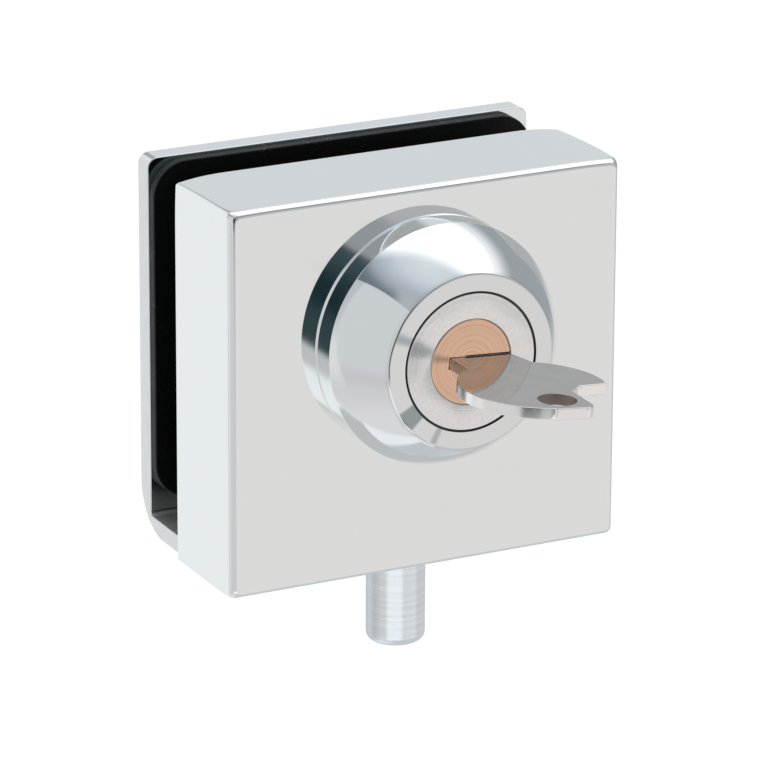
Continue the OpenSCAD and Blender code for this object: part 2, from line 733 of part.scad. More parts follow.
// Coil spring swept as a thin tube along a helix
spring_wire = 0.3;
spring_turns = 4;
module pin_spring(i) color("silver") {
    wire_r = spring_wire / 2;
    r = pin_d / 2 - wire_r - fit_gap;
    start = driver_foot + driver_l + shank_gap;
    length = chamber_reach - strip_t - shank_gap - start - spring_wire;
    steps = spring_turns * 14;
    sides = 6;
    ring = function(k) let (t = k / steps, a = 360 * spring_turns * t, c = start + wire_r + length * t)
        [for (s = [0:sides - 1]) let (b = 360 * s / sides, q = r + wire_r * cos(b))
            [q * cos(a), q * sin(a), c + wire_r * sin(b)]];
    points = [for (k = [0:steps]) each ring(k)];
    walls = [for (k = [0:steps - 1], s = [0:sides - 1])
        let (n = (s + 1) % sides) [k * sides + s, k * sides + n, (k + 1) * sides + n, (k + 1) * sides + s]];
    ends = [[for (s = [sides - 1:-1:0]) s], [for (s = [0:sides - 1]) steps * sides + s]];
    at_tumbler(i) polyhedron(points, concat(walls, ends));
}

// Round bolt: rounded end below, slot at the top for the rack's tang
module bolt() color("silver") difference() {
    translate([0, y_bolt, 0]) rotate_extrude() {
        translate([0, z_bolt_end + bolt_end_r]) square([bolt_d / 2, z_foot - z_bolt_end - bolt_end_r]);
        translate([0, z_bolt_end]) square([bolt_d / 2 - bolt_end_r, bolt_end_r + over]);
        translate([bolt_d / 2 - bolt_end_r, z_bolt_end + bolt_end_r]) circle(r = bolt_end_r);
    }
    block([-bolt_d, y_bolt - gear_w / 2 - shank_gap, z_foot - tang_l - 2 * fit_gap],
          [bolt_d, y_bolt + gear_w / 2 + shank_gap, z_foot + over]);
    rod_y(0, z_foot - tang_l / 2, y_bolt - bolt_d, y_bolt + bolt_d, cross_pin_d + 2 * shank_gap);
}

// Rack, foot and tang of the bolt's carriage in one plate
module bolt_rack() color("darkkhaki") along_y(y_bolt - gear_w / 2, y_bolt + gear_w / 2) difference() {
    union() {
        rack_outline();
        translate([-tang_w / 2, z_foot - tang_l]) square([tang_w, tang_l + over]);
    }
    translate([0, z_foot - tang_l / 2]) circle(d = cross_pin_d + 2 * shank_gap);
}

// Rack with straight flanks on the pinion's side and a foot that reaches over the bolt
module rack_outline() {
    tip_x = x_pitch - gear_module;
    root_x = x_pitch + 1.25 * gear_module;
    foot_x = -tang_w / 2 - foot_end;
    half = tooth_pitch / 4 - backlash / 4;
    tip_half = half - gear_module * tan(pressure);
    root_half = half + 1.25 * gear_module * tan(pressure);
    above = floor((z_rack_top - root_half - axis_z) / tooth_pitch - 1 / 2);
    z_first = axis_z + (above + 1 / 2) * tooth_pitch;
    count = floor((z_first - root_half - z_foot_top) / tooth_pitch) + 1;
    polygon(concat(
        [[foot_x, z_foot], [rack_x, z_foot], [rack_x, z_rack_top], [root_x, z_rack_top]],
        [for (k = [0:count - 1]) let (z = z_first - k * tooth_pitch) each [
            [root_x, z + root_half],
            [tip_x, z + tip_half],
            [tip_x, z - tip_half],
            [root_x, z - root_half]
        ]],
        [[root_x, z_foot_top], [foot_x, z_foot_top]]
    ));
}

// Pin that joins the bolt and its carriage
module cross_pin() color("dimgray")
    rod_y(0, z_foot - tang_l / 2, y_bolt - bolt_d / 2 + cross_pin_in, y_bolt + bolt_d / 2 - cross_pin_in,
          cross_pin_d);

bent_plate();
rear_pad();
front_pad();
grub_screws();
cover();
lock_case();
back_plate();
web_screws();
back_plate_screws();
spacer_ring();
collar();
collar_screws();
barrel();
ring_nut();
chamber_strip();
plug();
plug_clip();
pinion();
pinion_screw();
key();
bolt();
bolt_rack();
cross_pin();
for (i = [1:PINS]) {
    key_pin(i);
    driver_pin(i);
    pin_spring(i);
}
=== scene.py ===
import bmesh
import bpy
import math
from mathutils import Matrix, Vector


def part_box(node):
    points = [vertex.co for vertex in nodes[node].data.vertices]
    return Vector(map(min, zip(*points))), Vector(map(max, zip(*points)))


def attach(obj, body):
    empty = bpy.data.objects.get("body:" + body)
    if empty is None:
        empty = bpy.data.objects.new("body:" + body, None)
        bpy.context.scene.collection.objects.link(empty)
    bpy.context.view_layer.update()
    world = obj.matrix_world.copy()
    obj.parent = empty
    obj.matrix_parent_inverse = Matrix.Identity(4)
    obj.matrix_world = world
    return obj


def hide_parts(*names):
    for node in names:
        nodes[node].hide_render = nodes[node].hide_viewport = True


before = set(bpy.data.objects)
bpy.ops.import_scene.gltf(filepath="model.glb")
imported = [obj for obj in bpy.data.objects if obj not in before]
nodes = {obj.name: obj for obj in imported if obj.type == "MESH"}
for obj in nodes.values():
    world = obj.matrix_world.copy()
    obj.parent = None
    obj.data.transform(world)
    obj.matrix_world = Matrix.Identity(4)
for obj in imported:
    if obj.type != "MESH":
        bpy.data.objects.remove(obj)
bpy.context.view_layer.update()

# Camera: stands to the left of the lock and a little above it, with a long lens. Its place was fitted to the
# edges of the cover and the circles of the collar.
scene = bpy.context.scene
scene.view_settings.view_transform = "Standard"
cam_azimuth, cam_elevation, cam_roll = (math.radians(a) for a in (26.798, 19.141, 0.269))
cam_target = Vector((-0.006515, -0.019, 0.000215))
cam_distance = 0.75526
back = Vector((
    -math.sin(cam_azimuth) * math.cos(cam_elevation),
    -math.cos(cam_azimuth) * math.cos(cam_elevation),
    math.sin(cam_elevation),
))
level = Vector((math.cos(cam_azimuth), -math.sin(cam_azimuth), 0))
upright = back.cross(level)
right = level * math.cos(cam_roll) + upright * math.sin(cam_roll)
up = upright * math.cos(cam_roll) - level * math.sin(cam_roll)
camera = bpy.data.objects.new("camera", bpy.data.cameras.new("camera"))
camera.data.lens = 263.5
camera.data.sensor_width = 36
camera.data.clip_start = 0.01
turned = Matrix((right, up, back)).transposed().to_4x4()
camera.matrix_world = Matrix.Translation(cam_target + back * cam_distance) @ turned
scene.collection.objects.link(camera)
scene.camera = camera


# Studio: pale cards and walls all round, a large soft light above that reaches from the front right to
# behind, and the dark end of the room where the camera stands. Polished metal shows them, so they are
# painted by direction: turn is 0 in front, 90 to the right, and height is 90 overhead, in degrees.
class Wire:
    """A socket in a node tree, so that the maths of nodes reads as an expression."""

    def __init__(self, tree, socket=None):
        self.tree = tree
        self.socket = socket

    def node(self, kind, settings=None, sockets=None, out=0):
        """Adds any node: its settings first, then the values or links of its sockets."""
        made = self.tree.nodes.new(kind if "Node" in kind else "ShaderNode" + kind)
        for name, value in (settings or {}).items():
            if name == "stops":
                ramp = made.color_ramp.elements
                while len(ramp) < len(value):
                    ramp.new(0.5)
                for stop, (place, colour) in zip(ramp, value):
                    stop.position = place
                    stop.color = colour
            else:
                setattr(made, name, value)
        for name, value in (sockets or {}).items():
            for one in value if isinstance(value, list) else [value]:
                if isinstance(one, Wire):
                    self.tree.links.new(one.socket, made.inputs[name])
                else:
                    made.inputs[name].default_value = one
        return Wire(self.tree, made.outputs[out] if made.outputs else None)

    def outputs(self):
        """Every output of the node that this socket is on, by name."""
        return {socket.name: Wire(self.tree, socket) for socket in self.socket.node.outputs}

    def math(self, operation, *others):
        """Maths on this number and any others."""
        return self.node("Math", {"operation": operation}, dict(enumerate((self, *others))))

    def __add__(self, other):
        return self.math("ADD", other)

    def __sub__(self, other):
        return self.math("SUBTRACT", other)

    def __rsub__(self, other):
        return self.math("MULTIPLY_ADD", -1, other)

    def __mul__(self, other):
        return self.math("MULTIPLY", other)

    def __truediv__(self, other):
        return self.math("DIVIDE", other)

    def __neg__(self):
        return self.math("MULTIPLY", -1)

    def __abs__(self):
        return self.math("ABSOLUTE")

    __radd__ = __add__
    __rmul__ = __mul__

    def vector(self, operation, *others):
        """Vector maths on this vector and any others; a length comes out as a number."""
        out = 1 if operation == "LENGTH" else 0
        return self.node("VectorMath", {"operation": operation}, dict(enumerate((self, *others))), out)

    def times(self, vector):
        """A vector, or three bare numbers, made longer by this number."""
        return self.node("VectorMath", {"operation": "SCALE"}, {0: vector, "Scale": self})

    def split(self):
        """The three numbers of a vector."""
        return list(self.node("SeparateXYZ", sockets={0: self}).outputs().values())

    def rise(self, low, high):
        """0 up to low and 1 from high on, smooth between them; it falls where low is the larger."""
        return self.node("MapRange", {"interpolation_type": "SMOOTHSTEP"},
                         {"Value": self, "From Min": low, "From Max": high})

    def off(self, middle):
        """How far an angle in degrees is from a middle one, the shorter way round."""
        return abs((self - middle).math("WRAP", 180, -180))

    def within(self, low, high, soft):
        """1 between low and high, with edges that take soft on either side."""
        return self.rise(low - soft, low + soft) * self.rise(high + soft, high - soft)

    def mix(self, mask, first, second):
        """The first colour where mask is 0, the second where it is 1."""
        return self.node("Mix", {"data_type": "RGBA"}, {0: mask, 6: first, 7: second}, out=2)

    def noise(self, size, detail=2.0, stretch=(1, 1, 1)):
        """Noise from 0 to 1 over a place in metres: marks of a size in millimetres, drawn out by stretch."""
        scale = tuple(1000 / size / s for s in stretch)
        place = self.node("Mapping", sockets={"Vector": self, "Scale": scale})
        return self.node("TexNoise", sockets={"Vector": place, "Scale": 1.0, "Detail": detail})

    def feed(self, shader, socket):
        """Links this value to a socket of a shader."""
        self.tree.links.new(self.socket, shader.socket.node.inputs[socket])


def grey(value, red=1.0, green=1.0, blue=1.0):
    """A grey as a colour, with a slight tint."""
    return (value * red, value * green, value * blue, 1)


world = bpy.data.worlds.new("studio")
scene.world = world
world.use_nodes = True
world.node_tree.nodes.clear()
studio = Wire(world.node_tree)
ray_x, ray_y, ray_z = studio.node("TexCoord", out="Generated").split()
height = ray_z.math("ARCSINE") * math.degrees(1)
turn = ray_x.math("ARCTAN2", -ray_y) * math.degrees(1)
strip = turn.within(-123, -107, 2)
gap = turn.within(-45, -15, 2.5) * height.rise(-19.3, -15)
beside = turn.within(76, 140, 8)
behind = turn.off(172).rise(40, 22)
floor_tone = studio.mix(height.rise(-24, -42), grey(0.64, 1.0, 0.985, 1.01), grey(0.71))
floor_tone = studio.mix(height.rise(-42, -56), floor_tone, grey(0.78, 0.98, 1.0, 1.02))
walls = studio.mix(height.rise(-26, -14), floor_tone, grey(0.69, 0.97, 1.01, 1.03))
for patch, tone in (
    (strip * height.rise(-40, -20), grey(0.80)),
    (strip * height.rise(-12, 20), grey(0.58, 0.94, 1.0, 1.06)),
    (turn.within(-48, 66, 5) * height.rise(-24, -38), grey(0.64, 0.97, 1.0, 1.03)),
    (turn.within(8, 66, 6) * height.within(-38, -9, 5), grey(0.8, 1.012, 0.995, 0.99)),
    (turn.within(-52, 74, 6) * height.rise(-14, -4), grey(0.53, 0.98, 1.0, 1.02)),
    (turn.within(-14, 12, 5) * height.rise(-22, -12), grey(0.38, 0.94, 1.0, 1.05)),
    (gap, grey(0.06, 0.6, 1.05, 1.15)),
    (gap * height.rise(-4, 8), grey(0.03, 0.4, 1.05, 1.25)),
    (gap * height.rise(14, 26), grey(0.075, 0.6, 1.05, 1.2)),
    (turn.within(-62, 4, 3) * height.within(-46, -26, 2), grey(1.05, 0.97, 1.0, 1.02)),
    (beside, grey(0.39, 0.92, 1.0, 1.05)),
    (beside * height.rise(-8, -24), grey(0.64)),
    (behind, grey(0.735, 0.95, 1.0, 1.03)),
    (behind * height.rise(-24, -44), grey(0.61, 0.95, 1.0, 1.05)),
    (turn.off(184).rise(30, 24) * height.rise(21, 26), grey(0.42, 0.96, 1.0, 1.03)),
    (turn.off(-152).rise(28, 14), grey(0.935, 0.965, 1.0, 1.03)),
):
    walls = studio.mix(patch, walls, tone)

card_bow = (turn + 85) * (turn + 85) * 0.0065
card_top = 46 - card_bow.math("MINIMUM", 6.0)
upper = height.node("ValToRGB", {"stops": [
    (0.0, grey(0.18, 0.88, 1.05, 1.2)),
    (0.08, grey(0.22, 0.88, 1.05, 1.18)),
    (0.23, grey(0.44, 0.88, 1.0, 1.1)),
    (0.42, grey(0.60, 0.88, 1.0, 1.09)),
    (0.6, grey(0.74, 0.9, 1.0, 1.05)),
    (1.0, grey(0.84, 0.9, 1.0, 1.03)),
]}, {0: (height - 44) / 46})
upper = studio.mix(turn.within(-74, -20, 9) * height.rise(64, 52), upper, grey(0.5, 0.92, 1.0, 1.06))
walls = studio.mix((height - card_top).rise(-0.6, 0.6), walls, upper)
over_lamp_edge = (ray_x * 0.643 + ray_y * 0.765).rise(-0.08, 0.22)
over_lamp_bottom = (height - (49 - ray_x * 14)).rise(-12, 12)
walls = studio.mix(over_lamp_edge * over_lamp_bottom, walls, grey(1.45, 0.99, 1.0, 1.0))

to_camera = studio.node("LightPath", out="Is Camera Ray")
seen = studio.mix(to_camera, walls, grey(1.0))
background = studio.node("Background", sockets={"Color": seen, "Strength": 1.0})
studio.node("OutputWorld", sockets={"Surface": background})

# Floor: a plain pale floor well below the lock, which hangs on its glass. It is white to the camera and
# keeps the lock's shadow; polished metal shows the studio in its place.
floor_drop = 0.9
floor_size = 12
floor_mesh = bpy.data.meshes.new("floor")
half = floor_size / 2
corners = ((-half, -half), (half, -half), (half, half), (-half, half))
floor_mesh.from_pydata([(x, y, -floor_drop) for x, y in corners], [], [(0, 1, 2, 3)])
floor = bpy.data.objects.new("floor", floor_mesh)
scene.collection.objects.link(floor)
floor_paint = bpy.data.materials.new("floor_paint")
floor_paint.use_nodes = True
floor_paint.node_tree.nodes.clear()
paint = Wire(floor_paint.node_tree)
matt = paint.node("BsdfDiffuse", sockets={"Color": grey(0.8)})
glow = paint.node("Emission", sockets={"Color": grey(1.0), "Strength": 0.45})
to_camera = paint.node("LightPath", out="Is Camera Ray")
lit = paint.node("AddShader", sockets={0: matt, 1: glow})
floor_look = paint.node("MixShader", sockets={0: to_camera, 1: matt, 2: lit})
paint.node("OutputMaterial", sockets={"Surface": floor_look})
floor_mesh.materials.append(floor_paint)
floor.visible_glossy = False

# Bent plate: a thick steel strip with one bend, its leg behind the glass and its web under the case. It is
# cut, bent, drilled and then polished all over, which leaves faint smears and slightly broken edges.
mm = 0.001


def surface(name, sockets=None):
    """A material, the place on the piece in metres, and its shader: bare metal, apart from given sockets."""
    material = bpy.data.materials.new(name)
    material.use_nodes = True
    material.node_tree.nodes.clear()
    wire = Wire(material.node_tree)
    shader = wire.node("BsdfPrincipled", sockets={"Metallic": 1.0, **(sockets or {})})
    wire.node("OutputMaterial", sockets={"Surface": shader})
    return material, wire.node("TexCoord", out="Object"), shader


def in_mm(place):
    """The three numbers of a place, in millimetres."""
    return [axis / mm for axis in place.split()]


def facing(place, axis):
    """How squarely a face looks along an axis of the lock, either way, 0 to 1."""
    return abs(place.node("TexCoord", out="Normal").split()["XYZ".index(axis)])


def wiped(place):
    """Faint smears on a polished face, 0 to 1."""
    return place.noise(5, 3, stretch=(1.8, 1, 0.7)).rise(0.45, 0.8)


def bumped(shader, height, depth):
    """Gives a shader a bump from a height, 0 to 1, that stands for a depth in millimetres."""
    bump = height.node("Bump", sockets={"Height": height, "Strength": 1.0, "Distance": depth * mm})
    bump.feed(shader, "Normal")


def finish_piece(name, mesh, material, node, body="lock_body"):
    """Puts a mesh in the scene in place of its CAD node, with its material and body."""
    mesh.materials.clear()
    mesh.materials.append(material)
    piece = bpy.data.objects.new(name, mesh)
    scene.collection.objects.link(piece)
    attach(piece, body)
    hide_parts(node)
    return piece


def applied(mesh, *modifiers):
    """The mesh that modifiers make of a mesh; each is a type and its settings or named inputs."""
    stand = bpy.data.objects.new("stand", mesh)
    scene.collection.objects.link(stand)
    for kind, settings in modifiers:
        modifier = stand.modifiers.new(kind.lower(), kind)
        for name, value in settings.items():
            if hasattr(modifier, name):
                setattr(modifier, name, value)
            else:
                items = modifier.node_group.interface.items_tree
                modifier[items[name].identifier] = value
    bpy.context.view_layer.update()
    graph = bpy.context.evaluated_depsgraph_get()
    made = bpy.data.meshes.new_from_object(stand.evaluated_get(graph), depsgraph=graph)
    bpy.data.objects.remove(stand)
    return made


def edged(node, width, angle=40):
    """A copy of a CAD node's mesh with its facets joined and its edges broken to a small radius."""
    shape = bmesh.new()
    shape.from_mesh(nodes[node].data)
    bmesh.ops.remove_doubles(shape, verts=shape.verts, dist=1e-6)
    bmesh.ops.dissolve_limit(shape, angle_limit=math.radians(1), verts=shape.verts, edges=shape.edges)
    mesh = bpy.data.meshes.new(node + "_edged")
    shape.to_mesh(mesh)
    shape.free()
    bevel = {"width": width * mm, "segments": 3, "limit_method": "ANGLE", "angle_limit": math.radians(angle)}
    made = applied(mesh, ("BEVEL", bevel))
    made.shade_smooth()
    made.set_sharp_from_angle(angle=math.radians(60))
    return applied(made, ("WEIGHTED_NORMAL", {"keep_sharp": True, "weight": 100}))


plate_steel, place, shader = surface("polished_plate")
_, spot_y, spot_z = in_mm(place)
cut_edge = facing(place, "X").rise(0.5, 0.9)
# The inner faces of the bend are rougher, and their warm tint is a painted warm reflection.
inside = spot_y.rise(7.7, 7.4) * spot_y.rise(-8, -6) * spot_z.rise(-24.1, -23.8) * spot_z.rise(-14, -20)
grain = place.noise(0.4, 3, stretch=(1, 3, 6))
cut_steel = place.mix(grain, grey(0.7, 1.0, 0.99, 0.99), grey(0.8, 1.0, 0.995, 0.99))
tone = place.mix(cut_edge, grey(0.87, 0.985, 1.0, 1.01), cut_steel)
place.mix(inside, tone, grey(0.8, 1.05, 1.0, 0.95)).feed(shader, "Base Color")
(0.05 + wiped(place) * 0.06 + cut_edge * 0.2 + inside * 0.6).feed(shader, "Roughness")
bumped(shader, place.noise(6, 0), 0.006)
finish_piece("bent_plate_edged", edged("bent_plate", 0.35), plate_steel, "bent_plate")

# Pads: two sheets of black rubber that grip the glass, one on the leg and one on the back of the case. They
# are cut from sheet with round corners and glued on, and they pick up pale dust.
rubber, place, shader = surface("pad_rubber", {"Metallic": 0.0, "Specular IOR Level": 0.25})
# Painted light and shade: the faces that look along Y are painted almost black as shade, and the edges a
# lighter blue-grey as painted light; pale dust sits mostly on the edges.
lit_pad_edge = facing(place, "Y").rise(0.9, 0.6)
dust = place.noise(0.35, 1).rise(0.62, 0.78) * place.noise(5, 1).rise(0.4, 0.7)
tone = place.mix(lit_pad_edge, grey(0.002), grey(0.042, 0.82, 1.0, 1.1))
place.mix(dust * (0.15 + lit_pad_edge * 0.85), tone, grey(0.3)).feed(shader, "Base Color")
(0.5 + place.noise(2, 2) * 0.2).feed(shader, "Roughness")
bumped(shader, place.noise(0.5, 2), 0.03)
for name in ("rear_pad", "front_pad"):
    finish_piece(name + "_edged", edged(name, 0.25), rubber, name)

# Grub screws: two blackened steel screws in the leg that press the pad on the glass. They are bought parts
# with a chamfered rim and a hexagon socket, flush with the back of the leg.
dark_steel, place, shader = surface("dark_steel")
worn = place.noise(0.8, 3)
place.mix(worn.rise(0.55, 0.8), grey(0.07, 0.95, 1.0, 1.08), grey(0.2)).feed(shader, "Base Color")
(0.3 + worn * 0.2).feed(shader, "Roughness")


def new_tree(name, *inputs):
    """A geometry tree with named inputs, each a name and a type, and those inputs by name."""
    tree = bpy.data.node_groups.new(name, "GeometryNodeTree")
    for label, kind in (("Points", "Geometry"), ("Turn", "Vector"), *inputs, ("Finish", "Material")):
        tree.interface.new_socket(label, in_out="INPUT", socket_type="NodeSocket" + kind)
    tree.interface.new_socket("Pieces", in_out="OUTPUT", socket_type="NodeSocketGeometry")
    return tree, Wire(tree).node("NodeGroupInput").outputs()


def stood_on_points(given, pattern):
    """Ends a tree: the pattern stands on each point, turned, and becomes plain mesh with its finish."""
    stood = pattern.node("GeometryNodeInstanceOnPoints", sockets={
        "Points": given["Points"], "Instance": pattern, "Rotation": given["Turn"]})
    real = stood.node("GeometryNodeRealizeInstances", sockets={"Geometry": stood})
    done = real.node("GeometryNodeSetMaterial", sockets={"Geometry": real, "Material": given["Finish"]})
    done.node("NodeGroupOutput", sockets={"Pieces": done})


screw_tree, given = new_tree(
    "socket_screw", ("Shank radius", "Float"), ("Length", "Float"), ("Rim radius", "Float"),
    ("Head depth", "Float"), ("Socket radius", "Float"), ("Socket depth", "Float"))
half_way = given["Length"].node("CombineXYZ", sockets={"Z": (given["Length"] + given["Head depth"]) / 2})
shank = half_way.node("GeometryNodeMeshCylinder", sockets={
    "Vertices": 48, "Radius": given["Shank radius"], "Depth": given["Length"] - given["Head depth"]})
shank = shank.node("GeometryNodeTransform", sockets={"Geometry": shank, "Translation": half_way})
head = shank.node("GeometryNodeMeshCone", sockets={
    "Vertices": 48, "Radius Top": given["Shank radius"], "Radius Bottom": given["Rim radius"],
    "Depth": given["Head depth"]})
blank = head.node("GeometryNodeJoinGeometry", sockets={"Geometry": [shank, head]})
blank = blank.node("GeometryNodeMergeByDistance", sockets={"Geometry": blank, "Distance": 1e-6})
socket = head.node("GeometryNodeMeshCylinder", sockets={
    "Vertices": 6, "Radius": given["Socket radius"], "Depth": given["Socket depth"] * 2})
screw = blank.node("GeometryNodeMeshBoolean", {"operation": "DIFFERENCE"}, {
    "Mesh 1": blank, "Mesh 2": socket})
stood_on_points(given, screw)


def smooth(mesh, angle=35):
    """Shades a mesh smooth, with edges sharper than the angle left sharp."""
    mesh.shade_smooth()
    mesh.set_sharp_from_angle(angle=math.radians(angle))
    return mesh


def stood(tree, places, turn, material, **inputs):
    """What a geometry tree makes on places in millimetres, shaded smooth."""
    points = bpy.data.meshes.new("points")
    points.from_pydata([Vector(p) * mm for p in places], [], [])
    values = {"node_group": tree, "Turn": turn, "Finish": material}
    values |= {name.replace("_", " "): value for name, value in inputs.items()}
    return smooth(applied(points, ("NODES", values)))


into_lock = (math.radians(90), 0.0, 0.0)
grub_r = 2.5
grub_chamfer = 0.4
grub_socket_r = 1.44
grub_socket_deep = 2
low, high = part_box("grub_screws")
places = [(side * (high.x / mm - grub_r), high.y / mm, 0) for side in (-1, 1)]
grubs = stood(screw_tree, places, into_lock, dark_steel, Shank_radius=grub_r * mm,
              Length=high.y - low.y, Rim_radius=(grub_r - grub_chamfer) * mm, Head_depth=grub_chamfer * mm,
              Socket_radius=grub_socket_r * mm, Socket_depth=grub_socket_deep * mm)
finish_piece("grub_screws_socket", grubs, dark_steel, "grub_screws")

# Lock case: a die-cast zinc tray that holds the bolt's guide, the rack's rail and the screw posts. It
# comes from the mould with a grainy skin, and two countersunk screws hold it on the bent plate's web.
def coat(name, material):
    """Gives a CAD node one material, in place of what it has."""
    nodes[name].data.materials.clear()
    nodes[name].data.materials.append(material)


zinc, place, shader = surface("cast_zinc")
flow = place.noise(7, 3)
place.mix(flow, grey(0.34, 0.98, 1.0, 1.04), grey(0.5)).feed(shader, "Base Color")
(0.48 + flow * 0.16).feed(shader, "Roughness")
bumped(shader, place.noise(0.4, 3), 0.02)
coat("lock_case", zinc)

plated, place, shader = surface("plated_steel")
bloom = place.noise(2.5, 3)
place.mix(bloom, grey(0.56, 0.98, 1.0, 1.08), grey(0.66, 1.03, 1.0, 0.93)).feed(shader, "Base Color")
(0.24 + bloom * 0.16).feed(shader, "Roughness")
bumped(shader, place.noise(0.3, 2), 0.004)


def countersunk(node, places, turn, shank_r, head_r, length):
    """Countersunk socket screws in place of a CAD node."""
    socket_share = 0.7
    screws = stood(screw_tree, places, turn, plated, Shank_radius=shank_r * mm, Length=length,
                   Rim_radius=head_r * mm, Head_depth=(head_r - shank_r) * mm,
                   Socket_radius=shank_r * socket_share * mm,
                   Socket_depth=(head_r - shank_r) * socket_share * mm)
    return finish_piece(node + "_socket", screws, plated, node)


low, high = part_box("web_screws")
shank_r, head_r = 2.0, 3.8
middle = (low.y + high.y) / 2 / mm
places = [(side * (high.x / mm - head_r), middle, low.z / mm) for side in (-1, 1)]
countersunk("web_screws", places, (0.0, 0.0, 0.0), shank_r, head_r, high.z - low.z)

# Bolt: a round steel bar turned to size, with tool marks round it and a rounded end. A plated rack plate is
# let into a slot at its top and held by a dark cross pin.
brushed, place, shader = surface("brushed_bolt")


def tool_marks(along, tilt, depth, width=0.12, level=0.5):
    """Normal of a turned face: marks of a width in millimetres tilt it to and fro about a level."""
    marks = along.node("TexNoise", {"noise_dimensions": "1D"}, {"W": along / width, "Scale": 1.0})
    lean = ((marks - level) * depth).times(tilt)
    lean = lean.node("VectorTransform", {"vector_type": "VECTOR", "convert_from": "OBJECT",
                                         "convert_to": "WORLD"}, {0: lean})
    return lean.node("NewGeometry", out="Normal").vector("ADD", lean).vector("NORMALIZE")


bolt_x, _, bolt_z = in_mm(place)
tool_marks(bolt_z, (0.0, 0.0, 1.0), 0.25, 0.15, level=1.0).feed(shader, "Normal")
bands = place.noise(0.5, 3, stretch=(40, 40, 1))
# Painted shade: the bolt's two sides are painted darker and bluer, the left one most.
painted_side_shade = (-bolt_x).rise(3.3, 4.1) + bolt_x.rise(3.5, 4.1) * 0.4
(0.2 + bands * 0.12).feed(shader, "Roughness")
tone = place.mix(bands.rise(0.35, 0.65), grey(0.88, 0.95, 1.0, 1.03), grey(0.98, 0.965, 1.0, 1.02))
place.mix(painted_side_shade * 0.6, tone, grey(0.45, 0.92, 1.0, 1.06)).feed(shader, "Base Color")
coat("bolt", brushed)
coat("bolt_rack", plated)
coat("cross_pin", dark_steel)

# Back plate: a flat plated steel plate that closes the case, held at its corner posts by four countersunk
# screws. The front pad covers it.
coat("back_plate", plated)
low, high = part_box("back_plate_screws")
shank_r, head_r = 1.5, 2.8
places = [(side * (high.x / mm - head_r), high.y / mm, z)
          for side in (-1, 1) for z in (low.z / mm + head_r, high.z / mm - head_r)]
countersunk("back_plate_screws", places, into_lock, shank_r, head_r, high.y - low.y)

# Cover: a thin steel sheet drawn to a shallow box and polished. It carries the collar in front and hides
# the case. Polishing has worn its upper corners down a little, most of all at the open rear edge.
low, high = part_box("cover")
half_w = (high.x - low.x) / 2 / mm
half_h = (high.z - low.z) / 2 / mm
y_front = low.y / mm
y_rear = high.y / mm
sheet_t = 0.8
front_inset = 0.8
front_depth = 1.5
side_r = 0.45
corner_r = 1.0
worn_rear = 0.65
worn_front = 0.18
worn_reach = 7.0
axis_x, axis_z = -2.0, 7.75
hole_r = 9.75
corner_fade = 1.2
least_r = 0.12
side_pull = 0.2
rim_r = 0.12
hold = 0.06
corner_steps = 8
side_steps = 40
depth_steps = 8
fillet_steps = 14


def solid(points, faces):
    """A mesh from points in millimetres, closed up and with its faces outwards."""
    mesh = bpy.data.meshes.new("solid")
    mesh.from_pydata([Vector(p) * mm for p in points], [], faces)
    shape = bmesh.new()
    shape.from_mesh(mesh)
    bmesh.ops.remove_doubles(shape, verts=shape.verts, dist=1e-7)
    bmesh.ops.recalc_face_normals(shape, faces=shape.faces)
    shape.to_mesh(mesh)
    shape.free()
    return mesh


def cover_ring(inset, y, worn=1.0):
    """Outline of the cover at one depth: a rectangle with round corners, the upper two worn down."""
    depth = (y - y_front) / (y_rear - y_front)
    radius = max(side_r + corner_r * math.exp(-(y - y_front) / corner_fade) - inset, least_r)
    a, b = half_w - inset, half_h - inset
    drop = worn * (worn_front + (worn_rear - worn_front) * max(depth, 0) ** 3)
    outline = []
    for sx, sz, first in ((1, 1, 0), (-1, 1, 90), (-1, -1, 180), (1, -1, 270)):
        for k in range(corner_steps + 1):
            t = math.radians(first + 90 * k / corner_steps)
            outline.append((sx * (a - radius) + radius * math.cos(t),
                            sz * (b - radius) + radius * math.sin(t)))
        x, z = outline[-1]
        end = (-sx * (a - radius), z) if first in (0, 180) else (x, -sz * (b - radius))
        for k in range(1, side_steps):
            outline.append((x + (end[0] - x) * k / side_steps, z + (end[1] - z) * k / side_steps))
    points = []
    for x, z in outline:
        along_x = max(0, 1 - (a - abs(x)) / worn_reach) ** 2
        along_z = max(0, 1 - (b - z) / worn_reach) ** 2
        points.append((x - math.copysign(side_pull * drop * along_z * (abs(x) / a) ** 8, x), y,
                       z - drop * along_x * max(0, z / b) ** 8))
    return points


def towards_hole(ring, share, y):
    """The ring drawn in towards the round hole for the barrel."""
    points = []
    for x, _, z in ring:
        way = Vector((x - axis_x, z - axis_z))
        spot = way.lerp(way.normalized() * hole_r, share)
        points.append((axis_x + spot.x, y, axis_z + spot.y))
    return points


inside = [cover_ring(sheet_t, y_front + sheet_t, 0.0), cover_ring(sheet_t, y_rear, 0.0)]
rim = [cover_ring(rim_r, y_rear), cover_ring(0.0, y_rear - rim_r), cover_ring(0.0, y_rear - 0.2)]
side_end = y_front + front_depth + hold
sides = []
for k in range(1, depth_steps + 1):
    sides.append(cover_ring(0.0, y_rear + (side_end - y_rear) * k / depth_steps))
fillet = []
for k in range(fillet_steps + 1):
    t = math.radians(90 * k / fillet_steps)
    fillet.append(cover_ring(front_inset * (1 - math.cos(t)), y_front + front_depth * (1 - math.sin(t))))
flat = cover_ring(front_inset + hold, y_front)
rings = [towards_hole(inside[0], share, y_front + sheet_t) for share in (1.0, 0.5)]
rings += inside + rim + sides + fillet + [flat]
rings += [towards_hole(flat, share, y_front) for share in (0.15, 0.5, 1.0)]


